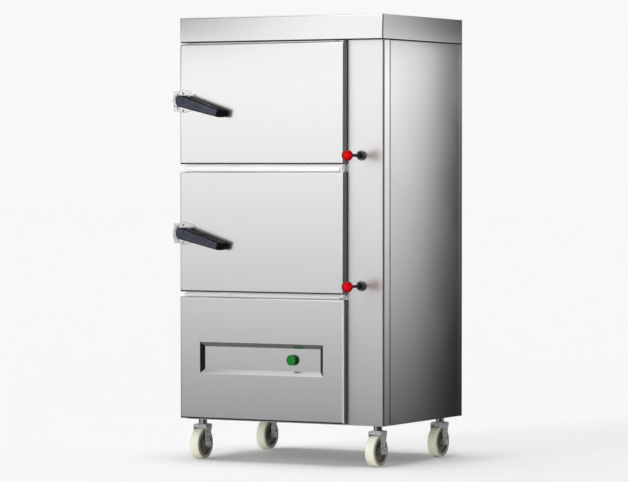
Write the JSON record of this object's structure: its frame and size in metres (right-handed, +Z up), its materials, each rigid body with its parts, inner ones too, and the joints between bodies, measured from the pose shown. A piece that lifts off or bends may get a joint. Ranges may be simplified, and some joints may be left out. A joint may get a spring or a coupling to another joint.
{
  "type": "rice_steamer_cabinet",
  "caption": "Stainless steel rice steamer cabinet on swivel castors, with stacked insulated doors, lever latches, red ball-knob steam valves and a green button",
  "frame": {"origin": "on the floor, under the middle of the box round the whole object", "axes": "+Z up, +X to the right and +Y to the rear as seen from the front"},
  "size_m": [0.765, 0.691, 1.43],
  "materials": {
    "stainless": "satin",
    "plated_steel": "satin",
    "brass": "satin",
    "foam": "matte",
    "gasket": "matte",
    "nylon": "satin",
    "lever": "satin",
    "red_knob": "gloss",
    "green_button": "gloss",
    "dark_steel": "satin",
    "black_plastic": "satin"
  },
  "bodies": {
    "cabinet": {"frame_stiles": "stainless", "frame_rails": "stainless", "pillar_cover": "stainless", "left_panel": "stainless", "right_panel": "stainless", "rear_cover": "stainless", "top_cap": "stainless", "base_plate": "stainless", "base_rails": "plated_steel", "upper_chamber": "stainless", "lower_chamber": "stainless", "foam_insulation": "foam", "rack_uprights": "stainless", "tray_ledges": "stainless", "hinge_brackets": "plated_steel", "latch_strikes": "plated_steel", "lower_panel": "stainless", "button_housing": "black_plastic", "control_box": "plated_steel", "boiler_tank": "stainless", "boiler_lid": "stainless", "heating_element": "plated_steel", "steam_riser": "brass", "valve_bodies": "brass", "valve_glands": "dark_steel", "steam_feeds": "brass", "water_inlet": "brass", "drain_pipe": "brass", "cable_gland": "black_plastic", "castor_stems": "plated_steel"},
    "start_button": {"start_button": "green_button"},
    "float": {"float_arm": "brass"},
    "upper_door": {"upper_door_skin": "stainless", "upper_door_tray": "stainless", "upper_door_core": "foam", "upper_door_gasket": "gasket", "upper_door_bushes": "plated_steel", "upper_latch_base": "plated_steel"},
    "upper_lever": {"upper_latch_lever": "lever", "upper_latch_hook": "plated_steel"},
    "upper_valve": {"upper_valve_rod": "dark_steel", "upper_valve_knob": "red_knob"},
    "lower_door": {"lower_door_skin": "stainless", "lower_door_tray": "stainless", "lower_door_core": "foam", "lower_door_gasket": "gasket", "lower_door_bushes": "plated_steel", "lower_latch_base": "plated_steel"},
    "lower_lever": {"lower_latch_lever": "lever", "lower_latch_hook": "plated_steel"},
    "lower_valve": {"lower_valve_rod": "dark_steel", "lower_valve_knob": "red_knob"},
    "front_left_fork": {"front_left_fork": "plated_steel"},
    "front_left_wheel": {"front_left_wheel": "nylon"},
    "front_right_fork": {"front_right_fork": "plated_steel"},
    "front_right_wheel": {"front_right_wheel": "nylon"},
    "rear_left_fork": {"rear_left_fork": "plated_steel"},
    "rear_left_wheel": {"rear_left_wheel": "nylon"},
    "rear_right_fork": {"rear_right_fork": "plated_steel"},
    "rear_right_wheel": {"rear_right_wheel": "nylon"}
  },
  "joints": [
    {"name": "upper_door_hinge", "type": "hinge", "parent": "cabinet", "child": "upper_door", "pos_m": [0.2325, -0.2485, 1.15], "axis": [0, 0, 1], "range_deg": [0, 105]},
    {"name": "upper_lever_pivot", "type": "hinge", "parent": "upper_door", "child": "upper_lever", "pos_m": [-0.3295, -0.2708, 1.159], "axis": [0, -1, 0], "range_deg": [0, 70]},
    {"name": "upper_valve_slide", "type": "slide", "parent": "cabinet", "child": "upper_valve", "axis": [0, 1, 0], "range_m": [0, 0.036]},
    {"name": "lower_door_hinge", "type": "hinge", "parent": "cabinet", "child": "lower_door", "pos_m": [0.2325, -0.2485, 0.738], "axis": [0, 0, 1], "range_deg": [0, 105]},
    {"name": "lower_lever_pivot", "type": "hinge", "parent": "lower_door", "child": "lower_lever", "pos_m": [-0.3295, -0.2708, 0.733], "axis": [0, -1, 0], "range_deg": [0, 70]},
    {"name": "lower_valve_slide", "type": "slide", "parent": "cabinet", "child": "lower_valve", "axis": [0, 1, 0], "range_m": [0, 0.036]},
    {"name": "start_button_press", "type": "slide", "parent": "cabinet", "child": "start_button", "axis": [0, 1, 0], "range_m": [0, 0.004], "stiffness_N_per_m": 400},
    {"name": "float_pivot", "type": "hinge", "parent": "cabinet", "child": "float", "pos_m": [-0.1735, 0.1575, 0.3392], "axis": [-1, 0, 0], "range_deg": [0, 25]},
    {"name": "front_left_swivel", "type": "hinge", "parent": "cabinet", "child": "front_left_fork", "pos_m": [-0.3095, -0.1985, 0.1117], "axis": [0, 0, 1], "continuous": true},
    {"name": "front_left_axle", "type": "hinge", "parent": "front_left_fork", "child": "front_left_wheel", "pos_m": [-0.3095, -0.2085, 0.05], "axis": [1, 0, 0], "continuous": true},
    {"name": "front_right_swivel", "type": "hinge", "parent": "cabinet", "child": "front_right_fork", "pos_m": [0.3325, -0.1985, 0.1117], "axis": [0, 0, 1], "continuous": true},
    {"name": "front_right_axle", "type": "hinge", "parent": "front_right_fork", "child": "front_right_wheel", "pos_m": [0.3325, -0.2085, 0.05], "axis": [1, 0, 0], "continuous": true},
    {"name": "rear_left_swivel", "type": "hinge", "parent": "cabinet", "child": "rear_left_fork", "pos_m": [-0.3095, 0.2365, 0.1117], "axis": [0, 0, 1], "continuous": true},
    {"name": "rear_left_axle", "type": "hinge", "parent": "rear_left_fork", "child": "rear_left_wheel", "pos_m": [-0.3095, 0.2265, 0.05], "axis": [1, 0, 0], "continuous": true},
    {"name": "rear_right_swivel", "type": "hinge", "parent": "cabinet", "child": "rear_right_fork", "pos_m": [0.3325, 0.2365, 0.1117], "axis": [0, 0, 1], "continuous": true},
    {"name": "rear_right_axle", "type": "hinge", "parent": "rear_right_fork", "child": "rear_right_wheel", "pos_m": [0.3325, 0.2265, 0.05], "axis": [1, 0, 0], "continuous": true}
  ]
}
